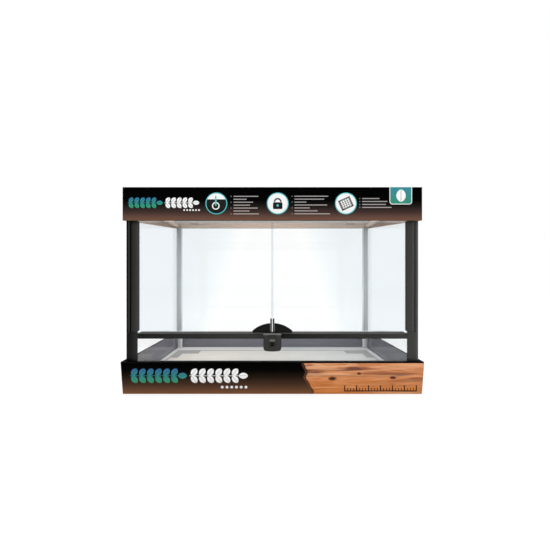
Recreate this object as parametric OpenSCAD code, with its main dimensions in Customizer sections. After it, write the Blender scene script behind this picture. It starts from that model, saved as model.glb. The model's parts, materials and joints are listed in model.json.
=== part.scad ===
// Front-opening glass terrarium with a mesh lid, a door lock and cable ports.
// Millimetres. Origin under the centre of the base, +X right, +Z up, the doors face -Y.

/* [Overall] */
// Width over the rim of the base frame
tank_w = 510; // [440:10:900]
// Depth over the rim of the base frame
tank_d = 250; // [240:10:450]
// Height to the top edge of the top frame
tank_h = 349.3; // [300:0.1:600]

/* [Base frame] */
// Height of the base frame
base_h = 55.4; // [45:0.1:70]
// How far the skirt draws in at the bottom on each side
base_draft = 2.5; // [0:0.1:2.6]
// Wall thickness of the skirt
skirt_t = 2.4; // [1.6:0.1:2.8]
// Thickness of the rim on top of the skirt
rim_t = 2.4; // [1.6:0.1:4]
// Width of the rim beside the posts
rim_side = 5.7; // [5.7:0.1:12]
// Width of the rim in front of and behind the posts
rim_end = 7.5; // [6:0.1:14]
// Height of the shelf that carries the glass
shelf_z = 13.2; // [8:0.1:20]
// Thickness of the shelf
shelf_t = 2.4; // [1.6:0.1:4]
// Width of the shelf along the sides
shelf_side_w = 19.5; // [14:0.1:30]
// Width of the shelf along the front and the rear
shelf_end_w = 39.7; // [20:0.1:42]
// Thickness of the foam gasket under the floor glass
gasket_t = 1.5; // [0.8:0.1:3]

/* [Support pads] */
// Length of a pad's leg along the width
pad_len_x = 54; // [30:1:80]
// Length of a pad's leg along the depth
pad_len_y = 57; // [30:1:62]
// Width of the leg that runs along the width
pad_leg_x = 25; // [10:1:28]
// Width of the leg that runs along the depth
pad_leg_y = 17; // [10:1:28]
// Gap between a pad and the shelf
pad_gap = 1; // [0.5:0.1:4]

/* [Glass] */
// Thickness of every pane
glass_t = 4; // [3:0.1:4.5]
// Clearance of a pane in its groove, on each face
glass_gap = 0.1; // [0.05:0.05:0.2]

/* [Posts] */
// Width of a front post
post_w = 19.4; // [19:0.1:24]
// Depth of a front post
post_d = 14; // [13.5:0.1:20]
// Plastic outside the side glass
post_skin_x = 2.3; // [1.6:0.1:2.6]
// Plastic outside the front and rear glass
post_skin_y = 2; // [1.4:0.1:2.4]
// Width of a rear post
rear_post_w = 12.3; // [10:0.1:20]
// Depth of a rear post
rear_post_d = 9.5; // [8:0.1:16]
// How deep the glass sits in a front post
post_grip = 5.3; // [4.4:0.1:5.6]
// How far a front post's inner face opens out over the post's depth
post_splay = 7.6; // [0:0.1:7.8]
// Width of the post that stays beside the door
post_lip = 6; // [5.4:0.1:7]
// Chamfer of the post's edge beside the door
post_chamfer = 2; // [1:0.1:2.4]
// Width of the bead in a rear inside corner
seal_w = 10.4; // [6:0.1:14]
// Depth of the bead in a rear inside corner
seal_d = 7.8; // [5:0.1:12]
// Chamfer of the bead
seal_chamfer = 3; // [1:0.1:4]

/* [Sill rail] */
// Height of the rail's underside
sill_z = 92.5; // [84:0.1:120]
// Height of the rail
sill_h = 10.9; // [10:0.1:16]
// Depth of the rail
sill_d = 8; // [7.4:0.1:12]
// Chamfer along the rail's front top edge
sill_chamfer = 4.5; // [2:0.1:4.8]
// Chamfer of the rail's ends beside the posts
sill_end_chamfer = 3; // [1:0.1:4.8]
// Depth of the groove for the lower glass
sill_groove = 3.2; // [2:0.1:3.6]

/* [Doors] */
// Gap between the two doors
door_gap = 1; // [0.8:0.1:4]
// Height of the doors over the rail
door_lift = 0.8; // [0.6:0.1:2]
// Width of a door stile
stile_w = 15.2; // [14:0.1:20]
// Plastic on each face of the glass in a stile
stile_skin = 1.4; // [1.2:0.1:1.6]
// How deep the glass sits in a stile
stile_grip = 6.4; // [3:0.1:7]
// How far a stile's rear skin laps over the glass
stile_rear_grip = 2.9; // [1.5:0.1:3]
// Chamfer of the stile's lower inner corner
stile_chamfer = 3.5; // [1:0.1:6]
// Gap between the hinge barrel and the post
barrel_gap = 0.8; // [0.5:0.1:1.2]
// Radius of a hinge pin
pin_r = 1.5; // [1:0.1:1.7]
// Length of a hinge pin
pin_len = 16; // [10:1:24]
// Running clearance of a pin in its bores
pin_fit = 0.05; // [0.02:0.01:0.1]

/* [Door pulls] */
// Width of one half-dome pull
pull_w = 30.2; // [22:0.1:40]
// Height of a pull at the middle of the tank
pull_h = 15.6; // [12:0.1:24]
// Height of a pull at its outer end
pull_end_h = 3; // [1:0.1:6]
// How far a pull stands out from the glass
pull_t = 4.3; // [3:0.1:4.4]
// Height of the edge clip on the glass
clip_h = 22.5; // [14:0.1:30]
// Width of the edge clip
clip_w = 2.2; // [1.2:0.1:2.6]
// How far the edge clip stays back from the glass edge
clip_inset = 0.8; // [0.1:0.1:1.2]
// Wall of the edge clip
clip_t = 1.2; // [0.8:0.1:1.4]

/* [Lock] */
// Width of the lock housing
lock_w = 30; // [28:1:40]
// Height of the lock housing
lock_h = 29.8; // [29:0.1:34]
// How far the housing stands out from the rail
lock_d = 7.3; // [7.2:0.1:9]
// Radius of the housing's lower corners
lock_corner_r = 5; // [2:0.1:7]
// Bulge of the housing's lower edge
lock_bulge = 0.8; // [0.4:0.1:2]
// Thickness of the housing's face
lock_face_t = 1.1; // [0.8:0.1:1.2]
// Chamfer of the housing's top edge
lock_chamfer = 1; // [0.4:0.1:1]
// Width of the sliding tongue
slider_w = 20; // [16:0.1:22]
// Thickness of the sliding tongue
slider_t = 2.4; // [1.8:0.1:2.4]
// Length of the sliding tongue
slider_len = 23.6; // [23:0.1:25]
// Travel of the tongue
slider_travel = 7; // [5:0.1:7.2]
// Width of the thumb pad
pad_w = 9.2; // [6:0.1:11]
// Height of the thumb pad
pad_h = 13; // [10:0.1:13]
// Height of the thumb pad's upper lip
pad_lip_h = 5; // [3:0.1:5.5]
// Radius of a lock screw
screw_r = 1.5; // [1.2:0.1:1.5]
// Radius of a lock screw's head
screw_head_r = 2.6; // [2.2:0.1:2.8]
// Distance between the two lock screws
screw_spacing = 18; // [12:0.1:20]

/* [Top frame] */
// Height of the top frame
top_h = 22.6; // [20:0.1:34]
// Wall thickness of the top frame
top_wall = 2; // [1.6:0.1:3]
// Thickness of the ledge that the lid rests on
ledge_t = 2.4; // [1.6:0.1:3]
// Width of the ledge
ledge_w = 11; // [10.4:0.1:14]
// Depth of the ledge under the frame's top edge
lid_well = 11.9; // [10.4:0.1:13]
// Thickness of the lip inside the glass
lip_t = 2; // [1.2:0.1:2.4]
// Height of the front fascia
fascia_h = 55.9; // [40:0.1:70]
// Thickness of the front fascia
fascia_t = 3; // [2:0.1:3]
// Height of the fascia's door stop over its lower edge
stop_rise = 2; // [1:0.1:4]
// Depth of the fascia's door stop
stop_d = 8.7; // [6:0.1:9]

/* [Lid] */
// Height of the lid frame
lid_h = 9.6; // [6:0.1:9.8]
// Gap round the lid
lid_gap = 0.6; // [0.3:0.1:1]
// Width of the lid's outer rails
lid_rail_w = 12.6; // [12:0.1:18]
// Width of a cross bar
bar_w = 8; // [7.6:0.1:12]
// Number of cross bars
bars = 3; // [1:1:3]
// How far the lid laps over the rear deck
lid_lap = 5.4; // [3:0.1:6]
// How far a mesh panel reaches under its rails
panel_lap = 3; // [2:0.1:3.4]
// Thickness of the mesh
mesh_t = 1.2; // [0.8:0.1:1.6]
// Depth of the mesh panels in the lid's underside
panel_seat = 2; // [1.8:0.1:3]
// Width of a mesh wire
wire_w = 1.2; // [0.8:0.1:2]
// Gap between the two layers of wires
wire_gap = 0.05; // [0.02:0.01:0.1]
// Gaps across one mesh panel
mesh_cols = 5; // [2:1:6]
// Gaps along one mesh panel
mesh_rows = 8; // [4:1:12]
// Radius of the finger dips in the lid
dip_r = 10; // [8:0.5:14]

/* [Cable ports] */
// Width of a cable slot
port_w = 24; // [14:1:30]
// Depth of a cable slot
port_d = 10; // [6:0.1:10]
// Distance of a slot's middle from the side of the posts
port_inset = 49; // [30:1:60]
// Thickness of a shutter
shutter_t = 2; // [1.4:0.1:3]
// How far a shutter laps over its slot on each side
shutter_lap = 2; // [1.5:0.1:2.2]
// Wall thickness of a shutter's guides
guide_t = 1.2; // [0.8:0.1:1.2]

/* [Cards] */
// Thickness of the printed cards
card_t = 0.8; // [0.4:0.1:1]
// Length of the base card's folds along the sides
card_return = 40; // [10:1:80]
// Height of the rim that shows over the base card
card_rim = 2; // [1:0.1:4]
// Gap under the base card
card_foot = 0.6; // [0:0.1:2]
// Gap at the folds of the header card
fold_gap = 0.05; // [0.02:0.01:0.1]

/* [Hidden] */

$fn = 48;
// Clearance between fixed pieces
fit = 0.2;
// Clearance between pieces that move past each other
run_gap = 0.3;
// Overshoot of a cut past the face it opens
over = 1;

// Half sizes of the rim
half_w = tank_w / 2;
half_d = tank_d / 2;
// Outer faces of the posts and of the panes, and the inner faces of the panes
post_x = half_w - rim_side;
post_y = half_d - rim_end;
pane_x = post_x - post_skin_x;
pane_y = post_y - post_skin_y;
pane_in_x = pane_x - glass_t;
pane_in_y = pane_y - glass_t;
// Inner corner of a post
post_in_x = post_x - post_w;
post_in_y = post_y - post_d;
// Clear opening inside the base frame's rim and the top frame's wall
well_x = post_x + fit;
well_y = post_y + fit;
// Inner edge of the base shelf
shelf_in_x = well_x - shelf_side_w;
shelf_in_y = well_y - shelf_end_w;
// Underside and top of the floor glass
floor_under = shelf_z + gasket_t;
floor_top = floor_under + glass_t;
// Levels of the top frame
top_z = tank_h - top_h;
ledge_top = tank_h - lid_well;
ledge_under = ledge_top - ledge_t;
glass_top = ledge_under - fit;
top_out_x = well_x + top_wall;
top_out_y = well_y + top_wall;
// Levels of the sill, the doors and the fascia
sill_top = sill_z + sill_h;
fascia_z = tank_h - fascia_h;
header_z = fascia_z - fit;
door_z = sill_top + door_lift;
door_top = header_z - run_gap;
// Hinge axis of the left door, its right twin is mirrored
stile_t = glass_t + 2 * stile_skin;
barrel_r = stile_t / 2;
rebate_x = post_x - post_lip;
hinge_x = rebate_x - barrel_gap - barrel_r;
hinge_y = post_y - barrel_r;
stile_in_x = hinge_x + barrel_r - stile_w;
rebate_y = post_y - stile_t - run_gap;
door_glass_z = door_z + clip_t - 0.5;
glass_front = hinge_y + glass_t / 2;
glass_back = hinge_y - glass_t / 2;
// Door pulls and edge clips
clip_x = door_gap / 2 + clip_inset;
pull_x = clip_x + clip_w + 0.15;
pull_z = sill_top + fit;
dome_half = pull_x + pull_w;
dome_rise = pull_h - pull_end_h;
dome_r = (dome_half * dome_half + dome_rise * dome_rise) / (2 * dome_rise);
// Lock
lock_top = sill_top - fit;
lock_z = lock_top - lock_h;
lock_front = post_y + lock_d;
slider_front = lock_front - lock_face_t - run_gap;
slider_back = slider_front - slider_t;
slider_z = lock_top - slider_len;
pad_z = slider_z + 1.4;
screw_z = sill_z + sill_groove + screw_r + 0.6;
screw_head_t = 1.6;
screw_end = post_y + 2;
// Fascia and header card
fascia_front = top_out_y + fascia_t;
// Rear deck with the cable slots
lip_face = pane_in_y - fit - lip_t;
port_x = post_x - port_inset;
port_rear = lip_face - 0.5;
port_front = port_rear - port_d;
shutter_front = port_front - shutter_lap;
shutter_rear = port_rear + shutter_lap;
guide_front = shutter_front - run_gap - guide_t;
guide_rear = shutter_rear + run_gap + guide_t;
shutter_len = port_w + 2 * shutter_lap;
lid_rear = guide_front - 0.9;
deck_front = lid_rear - lid_lap;
// Lid and its mesh panels
lid_x = well_x - lid_gap;
lid_front = well_y - lid_gap;
lid_top = ledge_top + lid_h;
window_x = lid_x - lid_rail_w;
window_front = lid_front - lid_rail_w;
window_rear = lid_rear - lid_rail_w;
window_w = (2 * window_x - bars * bar_w) / (bars + 1);

// Box between its lowest and highest corners
module block(lo, hi) {
    translate(lo) cube(hi - lo);
}

// Prism with an outline in X and Z, from y0 to y1
module prism_y(points, y0, y1) {
    translate([0, y1, 0]) rotate([90, 0, 0]) linear_extrude(y1 - y0) polygon(points);
}

// Prism with an outline in Y and Z, from x0 to x1
module prism_x(points, x0, x1) {
    translate([x0, 0, 0]) rotate([90, 0, 90]) linear_extrude(x1 - x0) polygon(points);
}

// Prism with an outline in X and Y, from z0 to z1
module prism_z(points, z0, z1) {
    translate([0, 0, z0]) linear_extrude(z1 - z0) polygon(points);
}

// A piece drawn on the left, moved to the side asked for: -1 left, 1 right
module on_side(side) {
    if (side > 0) mirror([1, 0, 0]) children();
    else children();
}

// Half width and half depth of the drafted base, drawn in by an inset, at a height
function base_x(inset, z) = half_w - inset - base_draft * (1 - z / base_h);
function base_y(inset, z) = half_d - inset - base_draft * (1 - z / base_h);

// Slice of the drafted base block between two heights
module base_block(inset, z0, z1) {
    intersection() {
        prism_y([[-base_x(inset, z0), z0], [base_x(inset, z0), z0],
                 [base_x(inset, z1), z1], [-base_x(inset, z1), z1]], -tank_d, tank_d);
        prism_x([[-base_y(inset, z0), z0], [base_y(inset, z0), z0],
                 [base_y(inset, z1), z1], [-base_y(inset, z1), z1]], -tank_w, tank_w);
    }
}

// Where the base card lies: a wrap round the front and the first part of the sides
module card_wrap(outer, z0, z1) {
    intersection() {
        difference() {
            base_block(outer, z0, z1);
            base_block(card_t, z0 - over, z1 + over);
        }
        block([-tank_w, -tank_d, z0 - over], [tank_w, card_return - half_d, z1 + over]);
    }
}

module base_frame() {
    color("#1b1b1a") difference() {
        base_block(0, 0, base_h);
        card_wrap(-over, -over, base_h - card_rim);
        base_block(card_t + skirt_t, -over, shelf_z - shelf_t);
        base_block(card_t + skirt_t, shelf_z, base_h - rim_t);
        block([-well_x, -well_y, shelf_z], [well_x, well_y, base_h + over]);
        block([-shelf_in_x, -shelf_in_y, 0], [shelf_in_x, shelf_in_y, base_h]);
    }
}

module base_card() {
    color("#3a2a20") card_wrap(0, card_foot, base_h - card_rim - fit);
}

// Outline of the floor, cut back round the two front posts
module floor_outline() {
    x = pane_in_x - fit;
    y = pane_in_y - fit;
    cut_x = post_in_x - fit;
    cut_y = post_in_y - fit;
    polygon([[-x, y], [-x, -cut_y], [-cut_x, -cut_y], [-cut_x, -y],
             [cut_x, -y], [cut_x, -cut_y], [x, -cut_y], [x, y]]);
}

module floor_gasket() {
    color("#c9c9c9") translate([0, 0, shelf_z]) linear_extrude(gasket_t) difference() {
        floor_outline();
        square([2 * shelf_in_x, 2 * shelf_in_y], center = true);
    }
}

module floor_pane() {
    color("#dfe6e8", 0.5) translate([0, 0, floor_under]) linear_extrude(glass_t) floor_outline();
}

// L-shaped pad under the floor glass, drawn at the rear left
module support_pad(side, front) {
    x = shelf_in_x - pad_gap;
    y = shelf_in_y - pad_gap;
    on_side(side) mirror([0, front ? 1 : 0, 0]) color("#9a9a9a")
        prism_z([[-x, y], [-x + pad_len_x, y], [-x + pad_len_x, y - pad_leg_x],
                 [-x + pad_leg_y, y - pad_leg_x], [-x + pad_leg_y, y - pad_len_y],
                 [-x, y - pad_len_y]], shelf_z, floor_under);
}

module side_pane(side) {
    front = post_in_y + post_grip - fit;
    on_side(side) color("#e4eef2", 0.35)
        block([-pane_x, -front, shelf_z], [-pane_in_x, pane_in_y - fit, glass_top]);
}

module rear_pane() {
    color("#e4eef2", 0.35)
        block([-pane_x, pane_in_y, shelf_z], [pane_x, pane_y, glass_top]);
}

module lower_front_pane() {
    x = post_in_x + post_grip - fit;
    color("#e4eef2", 0.35)
        block([-x, -pane_y, shelf_z], [x, -pane_in_y, sill_z + sill_groove - fit]);
}

// Front post with the door's rebate, the glass grooves and the two hinge bores
module post_front(side) {
    bore = pin_len / 2 + 0.5;
    groove = post_in_x + post_grip;
    on_side(side) color("#242423") difference() {
        block([-post_x, -post_y, shelf_z], [-post_in_x, -post_in_y, glass_top]);
        // Groove for the side glass
        block([-pane_x - glass_gap, -post_in_y - post_grip, 0],
              [-pane_in_x + glass_gap, 0, tank_h]);
        // Groove for the lower front glass
        block([-groove, -pane_y - glass_gap, 0], [0, -pane_in_y + glass_gap, sill_z + sill_groove]);
        // Rebate that takes the door stile, with its chamfered edge
        block([-rebate_x, -tank_d, door_z - run_gap], [0, -rebate_y, door_top + run_gap]);
        prism_z([[-rebate_x, -post_y + post_chamfer], [-rebate_x - post_chamfer, -post_y],
                 [-rebate_x, -post_y - over]], door_z - run_gap, door_top + run_gap);
        // Splayed inner face, full only where the rail butts on it
        for (z = [[0, sill_z], [sill_top - sill_end_chamfer, tank_h]])
            prism_z([[0, -tank_d], [-post_in_x, -tank_d], [-post_in_x, -post_y],
                     [-post_in_x - post_splay, -post_in_y], [-post_in_x - post_splay, 0], [0, 0]],
                    z[0], z[1]);
        // Hinge bores below and above the rebate
        translate([-hinge_x, -hinge_y, door_z - run_gap - bore])
            cylinder(r = pin_r + pin_fit, h = bore + over);
        translate([-hinge_x, -hinge_y, door_top + run_gap - over])
            cylinder(r = pin_r + pin_fit, h = bore + over);
    }
}

// Rear post: an angle that covers the glass joint from outside
module post_rear(side) {
    x = pane_x + glass_gap;
    y = pane_y + glass_gap;
    in_x = post_x - rear_post_w;
    in_y = post_y - rear_post_d;
    on_side(side) color("#242423")
        prism_z([[-post_x, in_y], [-x, in_y], [-x, y], [-in_x, y],
                 [-in_x, post_y], [-post_x, post_y]], shelf_z, glass_top);
}

// Bead in the rear inside corner, from the floor glass to the top frame
module corner_seal(side) {
    x = pane_in_x - fit;
    y = pane_in_y - fit;
    on_side(side) color("#9ea0a2")
        prism_z([[-x, y], [-x, y - seal_d], [-x + seal_w - seal_chamfer, y - seal_d],
                 [-x + seal_w, y - seal_d + seal_chamfer], [-x + seal_w, y]],
                floor_top, top_z - fit);
}

module sill_rail() {
    y = post_y;
    x = post_in_x;
    color("#2d2d2b") difference() {
        prism_x([[-y, sill_z], [-y + sill_d, sill_z], [-y + sill_d, sill_top],
                 [-y + sill_chamfer, sill_top], [-y, sill_top - sill_chamfer]], -x, x);
        // Groove for the lower glass
        block([-tank_w, -pane_y - glass_gap, 0],
              [tank_w, -pane_in_y + glass_gap, sill_z + sill_groove]);
        // Chamfered ends under the door stiles
        for (side = [-1, 1]) on_side(side)
            prism_y([[-x - over, sill_top - sill_end_chamfer - over],
                     [-x + sill_end_chamfer + over, sill_top + over],
                     [-x - over, sill_top + over]], -tank_d, 0);
        // Holes and counterbores of the lock screws
        for (side = [-1, 1]) {
            screw_hole(side, -y - over, 0, screw_r + pin_fit);
            screw_hole(side, -y + sill_d - screw_head_t, 0, screw_head_r + pin_fit);
        }
    }
}

// Round bar or hole along Y on the axis of one lock screw
module screw_hole(side, y0, y1, r) {
    translate([side * screw_spacing / 2, y1, screw_z]) rotate([90, 0, 0])
        cylinder(r = r, h = y1 - y0);
}

module lock_screws() {
    head = -post_y + sill_d;
    color("#b9bbbd") for (side = [-1, 1]) difference() {
        union() {
            screw_hole(side, head - screw_head_t, head, screw_head_r);
            screw_hole(side, -screw_end, head - screw_head_t, screw_r);
        }
        block([side * screw_spacing / 2 - screw_head_r, head - 0.8, screw_z - 0.4],
              [side * screw_spacing / 2 + screw_head_r, head + over, screw_z + 0.4]);
    }
}

// Outline of the lock housing in X and Z, with round corners and a bulged lower edge
module lock_outline() {
    flat = lock_w / 2 - lock_corner_r;
    bulge_r = (flat * flat + lock_bulge * lock_bulge) / (2 * lock_bulge);
    translate([-lock_w / 2, lock_z + lock_corner_r]) square([lock_w, lock_h - lock_corner_r]);
    translate([-flat, lock_z]) square([2 * flat, lock_h]);
    for (side = [-1, 1]) translate([side * flat, lock_z + lock_corner_r])
        circle(r = lock_corner_r);
    intersection() {
        translate([0, lock_z + bulge_r - lock_bulge]) circle(r = bulge_r, $fn = 96);
        translate([-flat, lock_z - lock_bulge]) square([2 * flat, 2 * lock_bulge]);
    }
}

module lock_housing() {
    window = pad_w / 2 + 1.6;
    color("#343432") difference() {
        translate([0, -post_y, 0]) rotate([90, 0, 0]) linear_extrude(lock_d) lock_outline();
        // Channel for the tongue, open at the top
        block([-slider_w / 2 - run_gap, -slider_front - run_gap, slider_z - 0.1],
              [slider_w / 2 + run_gap, -slider_back + run_gap, tank_h]);
        // Window for the thumb pad and its travel
        block([-window, -tank_d, pad_z - run_gap],
              [window, -slider_back, pad_z + pad_h + slider_travel + run_gap]);
        // Chamfered top edge
        prism_x([[-lock_front - over, lock_top - lock_chamfer - over],
                 [-lock_front + lock_chamfer + over, lock_top + over],
                 [-lock_front - over, lock_top + over]], -lock_w, lock_w);
        for (side = [-1, 1]) screw_hole(side, -screw_end - fit, 0, screw_r + pin_fit);
    }
}

// Tongue with a thumb pad: an upper lip, a tapered pocket and a lower lip
module lock_slider() {
    lip_z = pad_z + pad_h - pad_lip_h;
    pocket_top = pad_w / 2 - 0.6;
    pocket_low = pocket_top - 1;
    color("#3c3c3a") difference() {
        union() {
            block([-slider_w / 2, -slider_front, slider_z], [slider_w / 2, -slider_back, lock_top]);
            block([-pad_w / 2, -lock_front + fit, lip_z], [pad_w / 2, -slider_front, pad_z + pad_h]);
            block([-pocket_low, -slider_front - 0.6, pad_z], [pocket_low, -slider_front, pad_z + 1]);
        }
        prism_y([[-pocket_low, pad_z + 1], [pocket_low, pad_z + 1],
                 [pocket_top, lip_z], [-pocket_top, lip_z]],
                -lock_front, -slider_front + slider_t / 2);
    }
}

// Outline of a stile in X and Y: the hinge barrel and the arm that grips the glass
module stile_outline() {
    difference() {
        union() {
            translate([-hinge_x, -hinge_y]) circle(r = barrel_r);
            translate([-hinge_x, -hinge_y - barrel_r])
                square([hinge_x - stile_in_x, stile_t]);
        }
        translate([-stile_in_x - stile_grip, -glass_front - pin_fit])
            square([stile_grip + over, glass_t + 2 * pin_fit]);
        translate([-stile_in_x - stile_grip + stile_rear_grip, -glass_back])
            square([stile_grip + over, stile_skin + over]);
    }
}

module door_stile(side) {
    bore = pin_len / 2;
    on_side(side) color("#20201f") difference() {
        translate([0, 0, door_z]) linear_extrude(door_top - door_z) stile_outline();
        // Chamfered lower inner corner
        prism_y([[-stile_in_x - stile_chamfer - over, door_z - over],
                 [-stile_in_x + over, door_z - over],
                 [-stile_in_x + over, door_z + stile_chamfer + over]], -tank_d, 0);
        // Blind bores of the two hinge pins
        for (z = [door_z - over, door_top - bore]) translate([-hinge_x, -hinge_y, z])
            cylinder(r = pin_r + pin_fit, h = bore + over);
    }
}

module hinge_pin(side, upper) {
    mid = upper ? door_top : door_z;
    on_side(side) color("#a9abad") translate([-hinge_x, -hinge_y, mid - pin_len / 2])
        cylinder(r = pin_r, h = pin_len);
}

module door_pane(side) {
    edge = stile_in_x + stile_grip - fit;
    on_side(side) color("#e4eef2", 0.35)
        block([-edge, -glass_front, door_glass_z], [-door_gap / 2, -glass_back, door_top - 0.1]);
}

// Half of the domed pull, on the front of one door
module door_pull(side) {
    on_side(side) color("#1d1d1c") translate([0, -glass_front, pull_z]) rotate([90, 0, 0])
        linear_extrude(pull_t) intersection() {
            translate([0, pull_h - dome_r]) circle(r = dome_r, $fn = 180);
            translate([-dome_half, 0]) square([pull_w, pull_h + over]);
        }
}

// U-shaped clip that grips the lower free corner of the door glass
module edge_clip(side) {
    clip_z = door_glass_z - clip_t + 0.3;
    x = clip_x;
    on_side(side) color("#2a2a29") difference() {
        block([-x - clip_w, -glass_front - clip_t, clip_z],
              [-x, -glass_back + clip_t, clip_z + clip_h]);
        block([-x - clip_w - over, -glass_front, door_glass_z],
              [-x + over, -glass_back, tank_h]);
    }
}

// Guides of one cable shutter, each a wall with a lip over the shutter's edge
module shutter_guides() {
    x0 = -port_x - port_w / 2 - shutter_lap - 1;
    x1 = x0 + 2 * shutter_len + 2;
    lip_z = ledge_top + shutter_t + run_gap;
    top = lip_z + 1;
    block([x0, guide_front, ledge_under], [x1, guide_front + guide_t, top]);
    block([x0, guide_front, lip_z], [x1, shutter_front + guide_t, top]);
    block([x0, guide_rear - guide_t, ledge_under], [x1, guide_rear, top]);
    block([x0, shutter_rear - guide_t, lip_z], [x1, guide_rear, top]);
}

module top_frame() {
    lip_x = pane_in_x - fit;
    lip_y = pane_in_y - fit;
    color("#1f1f1e") {
        difference() {
            block([-top_out_x, -top_out_y, top_z], [top_out_x, top_out_y, tank_h]);
            block([-well_x, -well_y, ledge_top], [well_x, well_y, tank_h + over]);
            block([-well_x, -well_y, top_z - over], [well_x, well_y, ledge_under]);
            block([ledge_w - well_x, ledge_w - well_y, 0], [well_x - ledge_w, deck_front, tank_h]);
            for (side = [-1, 1]) on_side(side)
                block([-port_x - port_w / 2, port_front, 0],
                      [-port_x + port_w / 2, port_rear, tank_h]);
        }
        // Lips inside the side and rear glass
        for (side = [-1, 1]) on_side(side)
            block([-lip_x, fit - post_in_y, top_z], [lip_t - lip_x, lip_y, ledge_under]);
        block([-lip_x, lip_y - lip_t, top_z], [lip_x, lip_y, ledge_under]);
        for (side = [-1, 1]) on_side(side) shutter_guides();
    }
}

// Board over the doors, with a stop strip behind their upper edge
module front_fascia() {
    stop_z = fascia_z + stop_rise;
    stop_x = post_in_x - fit;
    color("#1f1f1e") {
        block([-top_out_x, -fascia_front, fascia_z], [top_out_x, -top_out_y, tank_h]);
        block([-stop_x, -top_out_y, stop_z], [stop_x, stop_d - top_out_y, stop_z + 2]);
    }
}

// Card folded round the fascia, with tapered wings along the sides
module header_card() {
    front = -fascia_front + fold_gap;
    color("#2c211c") {
        block([-top_out_x - card_t, -fascia_front - card_t, header_z],
              [top_out_x + card_t, -fascia_front, tank_h]);
        for (side = [-1, 1]) on_side(side)
            prism_x([[front, header_z], [top_out_y, top_z], [top_out_y, tank_h], [front, tank_h]],
                    -top_out_x - card_t, -top_out_x);
    }
}

// Left edge of the lid window of one mesh panel, counted from 0
function window_left(i) = -window_x + i * (window_w + bar_w);

module lid_frame() {
    color("#232322") difference() {
        block([-lid_x, -lid_front, ledge_top], [lid_x, lid_rear, lid_top]);
        for (i = [0:bars]) {
            x = window_left(i);
            block([x, -window_front, 0], [x + window_w, window_rear, tank_h]);
            // Seat of the mesh panel in the underside
            block([x - panel_lap, -window_front - panel_lap, 0],
                  [x + window_w + panel_lap, window_rear + panel_lap, ledge_top + panel_seat]);
        }
        // Finger dips in the front rail
        for (side = [-1, 1])
            translate([side * lid_x / 2, -lid_front + lid_rail_w / 2, lid_top + dip_r / 2])
                rotate([90, 0, 0]) cylinder(r = dip_r, h = lid_rail_w);
    }
}

// Flat wire mesh, pushed up into its seat in the lid: crosswise wires over lengthwise ones
module mesh_panel(i) {
    reach = panel_lap - fit;
    size_x = window_w + 2 * reach;
    size_y = window_front + window_rear + 2 * reach;
    pitch_x = (size_x - wire_w) / mesh_cols;
    pitch_y = (size_y - wire_w) / mesh_rows;
    layer = (mesh_t - wire_gap) / 2;
    if (i <= bars) color("#8f9193")
        translate([window_left(i) - reach, -window_front - reach,
                   ledge_top + panel_seat - mesh_t]) {
            for (col = [0:mesh_cols])
                translate([col * pitch_x, 0, 0]) cube([wire_w, size_y, layer]);
            for (row = [0:mesh_rows])
                translate([0, row * pitch_y, layer + wire_gap]) cube([size_x, wire_w, layer]);
        }
}

// Shutter of one cable slot, drawn open, with a finger ridge
module cable_shutter(side) {
    x0 = -port_x + port_w / 2 + shutter_lap;
    on_side(side) color("#333332") {
        block([x0, shutter_front, ledge_top + 0.1], [x0 + shutter_len, shutter_rear,
              ledge_top + shutter_t]);
        block([x0 + 3, port_front + 1, ledge_top + shutter_t],
              [x0 + 6, port_rear - 1, ledge_top + shutter_t + 3]);
    }
}

base_frame();
floor_gasket();
floor_pane();
support_pad(-1, true);  // support_pad_front_left
support_pad(1, true);  // support_pad_front_right
support_pad(-1, false);  // support_pad_rear_left
support_pad(1, false);  // support_pad_rear_right
side_pane(-1);  // left_pane
side_pane(1);  // right_pane
rear_pane();
lower_front_pane();
post_front(-1);  // post_front_left
post_front(1);  // post_front_right
post_rear(-1);  // post_rear_left
post_rear(1);  // post_rear_right
corner_seal(-1);  // corner_seal_rear_left
corner_seal(1);  // corner_seal_rear_right
sill_rail();
top_frame();
front_fascia();
header_card();
base_card();
lock_housing();
lock_screws();
lock_slider();
door_pane(-1);  // door_pane_left
door_stile(-1);  // door_stile_left
hinge_pin(-1, true);  // hinge_pin_upper_left
hinge_pin(-1, false);  // hinge_pin_lower_left
door_pull(-1);  // door_pull_left
edge_clip(-1);  // edge_clip_left
door_pane(1);  // door_pane_right
door_stile(1);  // door_stile_right
hinge_pin(1, true);  // hinge_pin_upper_right
hinge_pin(1, false);  // hinge_pin_lower_right
door_pull(1);  // door_pull_right
edge_clip(1);  // edge_clip_right
lid_frame();
mesh_panel(0);  // mesh_panel_1
mesh_panel(1);  // mesh_panel_2
mesh_panel(2);  // mesh_panel_3
mesh_panel(3);  // mesh_panel_4
cable_shutter(-1);  // cable_shutter_left
cable_shutter(1);  // cable_shutter_right
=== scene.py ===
"""Looks of the reptile terrarium: rounded plastic frames, glass, printed cards and wire mesh."""

import json
import math

import bmesh
import bpy
from mathutils import Matrix, Vector


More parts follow.
